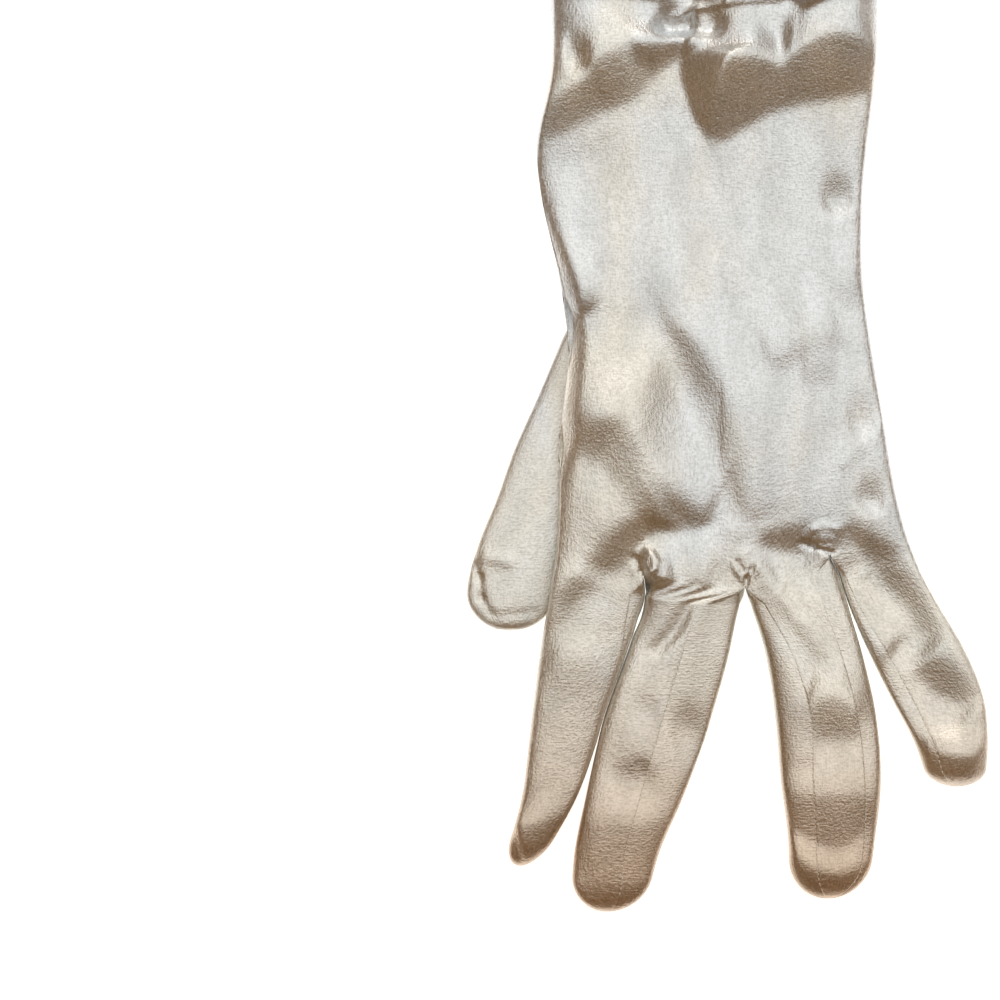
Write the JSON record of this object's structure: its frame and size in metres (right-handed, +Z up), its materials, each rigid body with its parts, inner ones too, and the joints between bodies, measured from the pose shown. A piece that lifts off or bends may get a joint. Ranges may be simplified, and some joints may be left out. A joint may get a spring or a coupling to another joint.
{
  "type": "ruched satin glove",
  "caption": "Stretch satin dress glove lying flat on its palm, hollow throughout, with ruched cuff, gussets in the forks and a set-in thumb folded under the palm.",
  "frame": {"origin": "on the surface that the glove lies on, at its flat palm face under the middle of the hand", "axes": "+Y from the fingertips to the open cuff, +Z up out of the palm through the back of the hand, +X from the thumb's side to the little finger's side"},
  "size_m": [0.1241, 0.2538, 0.0229],
  "materials": {
    "satin": "ivory stretch satin with a soft sheen",
    "gusset_satin": "the same ivory satin, knit across"
  },
  "bodies": {
    "root": {"back_panel": "satin", "palm_panel": "satin", "thumb": "satin", "gusset_index_middle": "gusset_satin", "gusset_middle_ring": "gusset_satin", "gusset_ring_little": "gusset_satin"}
  },
  "joints": []
}
